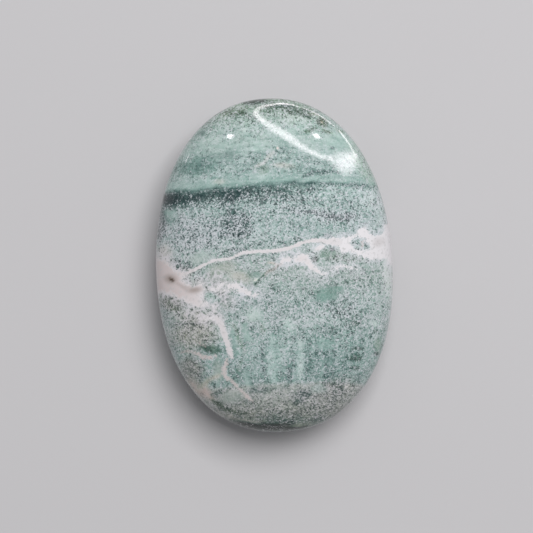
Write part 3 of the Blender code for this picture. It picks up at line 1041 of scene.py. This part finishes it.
# %% The ring lamp's strips
RING_GLOW = 11.3
GLOW_COLOUR = (1.0, 0.90, 0.95, 1)
STRIPS = [
    # How strongly each strip glows, then its points on the stone as (x, y, width)
    (1.0, [(-2.6, 33.2, 1.1), (-1.9, 32.2, 1.5), (-0.4, 30.8, 1.8), (2, 29.1, 2.2), (5, 27, 2.2),
           (8, 24.7, 1.4),
           (11, 23.1, 1.4), (12.8, 22.5, 1.3), (13.7, 22.2, 1.0)]),
    (0.7, [(-2.7, 33.0, 1.0), (-2.0, 33.8, 1.0), (-0.4, 34.4, 0.7), (3, 34.75, 0.4), (6, 34.3, 0.3)]),
    (0.35, [(5.5, 34.4, 0.25), (9, 33.1, 0.25), (11, 32, 0.35), (13, 30.5, 0.35), (14.4, 29.3, 0.3)]),
    (0.5, [(15.3, 28.4, 0.35), (17, 26, 0.5), (18.1, 24, 0.6), (18.8, 22.5, 0.9)]),
    (0.5, [(-18.0, 23.2, 0.3), (-17.2, 24.7, 0.3)]),
]
# The glow across a strip, from one edge at -1 to the other at 1
PROFILE = [(-1, 0), (-0.5, 0.75), (0, 1), (0.5, 0.75), (1, 0)]
# Two small bulbs, each a middle, half sizes and turn on the stone
DOTS = [(-8.2, 28.25, 0.85, 0.5, 12), (10.5, 27.4, 1.05, 0.5, -32)]
DOT_POINTS = 10
DOT_GLOW = 2.2
# The soft patch at the loop's right end: its outline, its middle, and the glow at a share of its size
BLOB_GLOW = 0.95
BLOB = [(13.0, 23.5), (15.6, 24.0), (18, 24.0), (19.2, 22.8), (19.4, 20.8), (17.9, 18.3), (16, 18.1),
        (14.2, 19.3),
        (12.9, 21.4)]
BLOB_MIDDLE = (16.4, 21.6)
BLOB_RINGS = [(0.4, 0.92), (0.7, 0.6), (0.88, 0.2), (1.0, 0.0)]


def ribbon(knots):
    """Points, glow and squares of one strip."""
    curve = rounded(knots)
    runs = np.gradient(curve[:, :2], axis=0)
    sideways = np.stack([-runs[:, 1], runs[:, 0]], axis=1) / np.linalg.norm(runs, axis=1)[:, None]
    places, squares = [], []
    for (x, y, width), (side_x, side_y) in zip(curve, sideways):
        for side, _ in PROFILE:
            places.append(mirrored_place(x + side * side_x * width / 2, y + side * side_y * width / 2))
    wide = len(PROFILE)
    for row in range(len(curve) - 1):
        for first in range(row * wide, row * wide + wide - 1):
            squares.append((first, first + 1, first + wide + 1, first + wide))
    return places, np.array([glow for _, glow in PROFILE] * len(curve)), squares


def disc(outline, middle):
    """Points, glow and faces of a patch that is brightest in its middle."""
    edge = rounded(outline, closed=True)[:-1]
    places, glow = [mirrored_place(*middle)], [1.0]
    for share, ring_glow in BLOB_RINGS:
        places += [mirrored_place(*(middle + share * (point - middle))) for point in edge]
        glow += [ring_glow] * len(edge)
    faces = []
    for spot in range(len(edge)):
        after = (spot + 1) % len(edge)
        faces.append((0, spot + 1, after + 1))
        for ring in range(len(BLOB_RINGS) - 1):
            inner, outer = ring * len(edge) + 1, (ring + 1) * len(edge) + 1
            faces.append((inner + spot, outer + spot, outer + after, inner + after))
    return places, np.array(glow), faces


glow_finish = bpy.data.materials.new("ring_glow")
glow_finish.use_nodes = True
glow_finish.cycles.emission_sampling = "NONE"
tree = glow_finish.node_tree
tree.nodes.remove(tree.nodes["Principled BSDF"])
emission = node("ShaderNodeEmission", {"Color": GLOW_COLOUR, "Strength": number("glow")})
clear = node("ShaderNodeBsdfTransparent", {})
both = node("ShaderNodeAddShader", {0: emission.outputs[0], 1: clear.outputs[0]})
tree.links.new(both.outputs[0], tree.nodes["Material Output"].inputs["Surface"])


def hang(name, places, glow, faces):
    """Makes one glowing piece of the lamp from its points."""
    sheet = bpy.data.meshes.new(name)
    sheet.from_pydata([point * MM for point in places], [], faces)
    store(sheet, "glow", glow * RING_GLOW)
    sheet.materials.append(glow_finish)
    lamp = add_object(name, sheet)
    lamp.visible_camera = False
    lamp.visible_diffuse = False
    lamp.visible_shadow = False


for count, (glow_share, knots) in enumerate(STRIPS):
    places, glow, faces = ribbon(knots)
    hang(f"ring_strip_{count + 1}", places, glow * glow_share, faces)
around = np.linspace(0, 2 * math.pi, DOT_POINTS, endpoint=False)
for count, (x, y, half_long, half_high, turn) in enumerate(DOTS):
    cos, sin = math.cos(math.radians(turn)), math.sin(math.radians(turn))
    out, up = half_long * np.cos(around), half_high * np.sin(around)
    rim = np.stack([x + out * cos - up * sin, y + out * sin + up * cos], axis=1)
    places, glow, faces = disc(rim, np.array([x, y]))
    hang(f"ring_dot_{count + 1}", places, glow * DOT_GLOW, faces)
places, glow, faces = disc(BLOB, np.array(BLOB_MIDDLE))
hang("ring_blob", places, glow * BLOB_GLOW, faces)
print("lamp pieces:", len(STRIPS) + len(DOTS) + 1)
